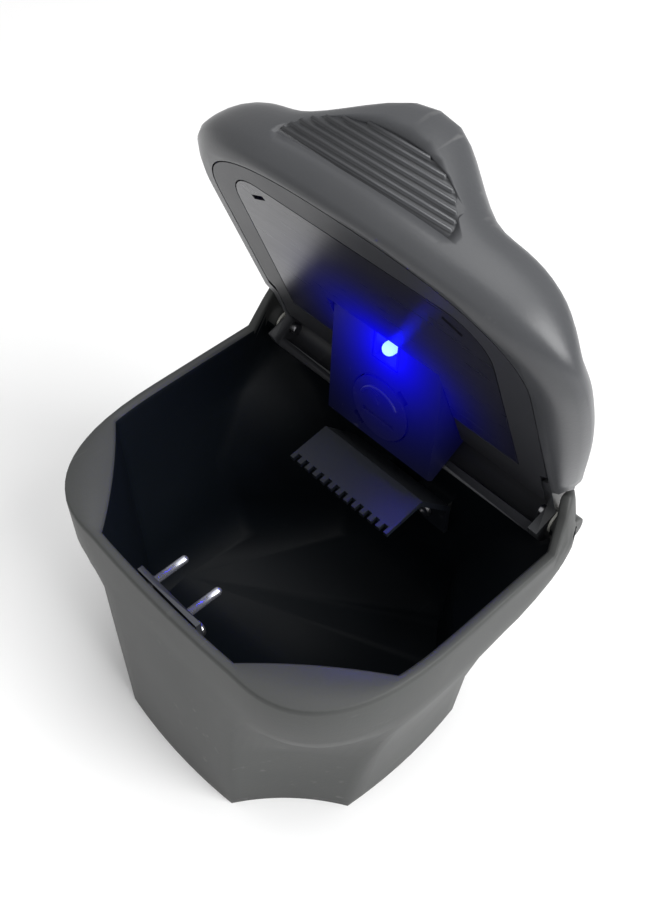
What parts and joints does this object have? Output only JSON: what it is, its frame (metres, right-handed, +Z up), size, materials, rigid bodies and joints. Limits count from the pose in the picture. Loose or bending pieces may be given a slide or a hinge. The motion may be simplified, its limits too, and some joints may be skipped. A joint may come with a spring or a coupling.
{
  "type": "lidded car ashtray",
  "caption": "Tapered cup-holder ashtray with a hinged hood lid, a grate, a pronged rest and a small battery light in the lid.",
  "frame": {"origin": "centre of the base, on the surface it stands on", "axes": "+X to the right along the hinge, +Y to the back, +Z up; the lid stands open at rest"},
  "size_m": [0.0946, 0.0785, 0.1324],
  "materials": {
    "body_plastic": "satin moulded plastic, charcoal",
    "lid_plastic": "satin moulded plastic, charcoal",
    "frame_plastic": "fine matte plastic",
    "shield_metal": "satin anodised sheet",
    "case_plastic": "fine matte plastic",
    "cover_plastic": "satin plastic",
    "grate_metal": "dark painted sheet",
    "rest_metal": "drawn wire and sheet",
    "steel": "turned steel",
    "washer_nylon": "natural nylon",
    "cell_steel": "nickel-plated steel",
    "contact_brass": "spring brass",
    "board_green": "solder-masked board",
    "lamp_blue": "clear tinted epoxy",
    "reflector": "plated plastic",
    "resistor": "lacquered body",
    "lead_red": "wire insulation",
    "lead_black": "wire insulation"
  },
  "bodies": {
    "bucket_body": {"bucket": "body_plastic", "snuffer_plate": "grate_metal", "snuffer_screw_left": "steel", "snuffer_screw_right": "steel", "cigarette_rest": "rest_metal", "rest_screw_left": "steel", "rest_screw_right": "steel", "hinge_pin_left": "steel", "hinge_pin_right": "steel", "friction_washer_left": "washer_nylon", "friction_washer_right": "washer_nylon"},
    "lid_body": {"lid_shell": "lid_plastic", "lid_inner_frame": "frame_plastic", "heat_shield": "shield_metal", "light_case": "case_plastic", "case_screw_left": "steel", "case_screw_right": "steel", "coin_cell": "cell_steel", "contact_positive": "contact_brass", "contact_negative": "contact_brass", "lead_positive": "lead_red", "lead_negative": "lead_black", "led": "lamp_blue", "led_reflector": "reflector", "light_board": "board_green", "resistor": "resistor", "tilt_switch": "cell_steel"},
    "cover_body": {"battery_cover": "cover_plastic"}
  },
  "joints": [
    {"name": "lid_hinge", "type": "hinge", "parent": "bucket_body", "child": "lid_body", "pos_m": [0, 0.036, 0.0592], "axis": [-1, 0, 0], "range_deg": [-70, 20]},
    {"name": "battery_cover_turn", "type": "hinge", "parent": "lid_body", "child": "cover_body", "pos_m": [0, 0.02628, 0.06794], "axis": [0, -0.9977, 0.0684], "range_deg": [0, 45]}
  ]
}
